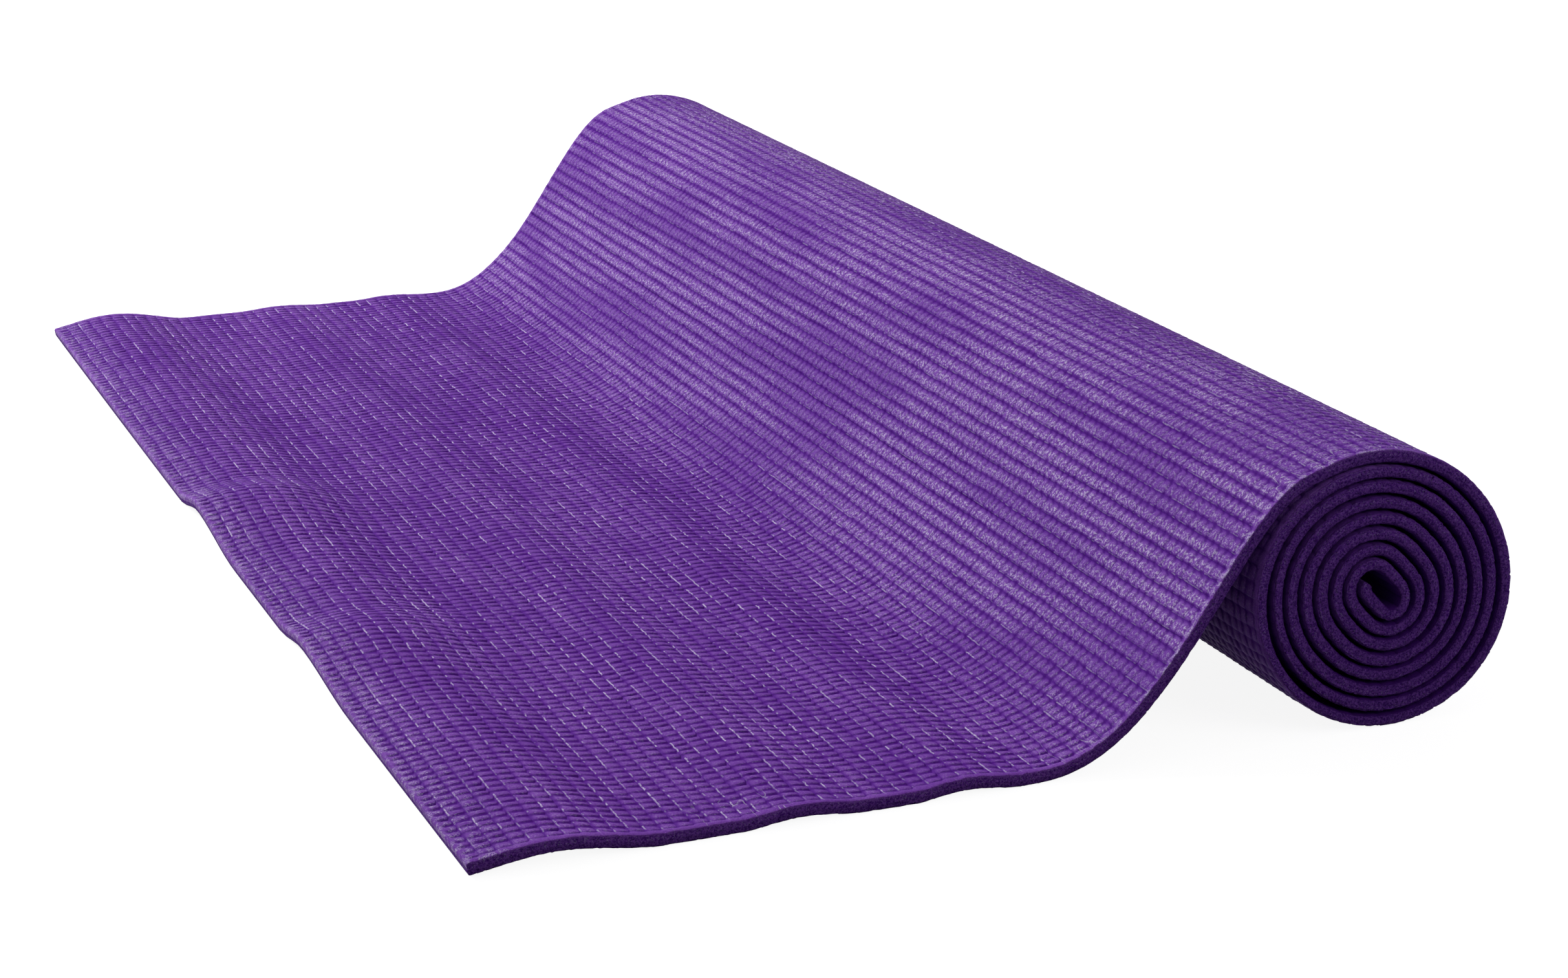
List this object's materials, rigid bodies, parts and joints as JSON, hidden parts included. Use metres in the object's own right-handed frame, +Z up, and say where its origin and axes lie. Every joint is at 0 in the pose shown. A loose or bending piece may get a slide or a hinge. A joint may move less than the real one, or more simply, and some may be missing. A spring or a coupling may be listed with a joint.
{
  "type": "yoga mat",
  "caption": "Ribbed foam yoga mat, partly unrolled: a loose spiral roll with one end leading down a slope to a flat, gently wavy free end.",
  "frame": {"origin": "Middle of the box round the partly unrolled mat, on the floor", "axes": "+X from the free end to the roll, along the mat's length; +Y across the mat's width, from the near edge to the far edge; +Z up"},
  "size_m": [0.3212, 0.61, 0.0849],
  "materials": {
    "face_foam": "closed-cell PVC foam, embossed with ribs, satin",
    "scrim": "open weave of polyester yarn",
    "base_foam": "closed-cell PVC foam, matt"
  },
  "bodies": {
    "roll": {"roll_face_foam": "face_foam", "roll_scrim": "scrim", "roll_base_foam": "base_foam"},
    "ramp": {"ramp_face_foam": "face_foam", "ramp_scrim": "scrim", "ramp_base_foam": "base_foam"},
    "rear": {"rear_face_foam": "face_foam", "rear_scrim": "scrim", "rear_base_foam": "base_foam"},
    "middle": {"middle_face_foam": "face_foam", "middle_scrim": "scrim", "middle_base_foam": "base_foam"},
    "front": {"front_face_foam": "face_foam", "front_scrim": "scrim", "front_base_foam": "base_foam"}
  },
  "joints": [
    {"name": "crest_bend", "type": "hinge", "parent": "roll", "child": "ramp", "pos_m": [0.09511, 0, 0.08191], "axis": [0, 1, 0], "range_deg": [0, 75]},
    {"name": "foot_bend", "type": "hinge", "parent": "ramp", "child": "rear", "pos_m": [0.00331, 0, 0.0042], "axis": [0, 1, 0], "range_deg": [0, 45]},
    {"name": "middle_bend", "type": "hinge", "parent": "rear", "child": "middle", "pos_m": [-0.03869, 0, 0.0042], "axis": [0, 1, 0], "range_deg": [0, 50]},
    {"name": "front_bend", "type": "hinge", "parent": "middle", "child": "front", "pos_m": [-0.08169, 0, 0.0042], "axis": [0, 1, 0], "range_deg": [0, 60]}
  ]
}
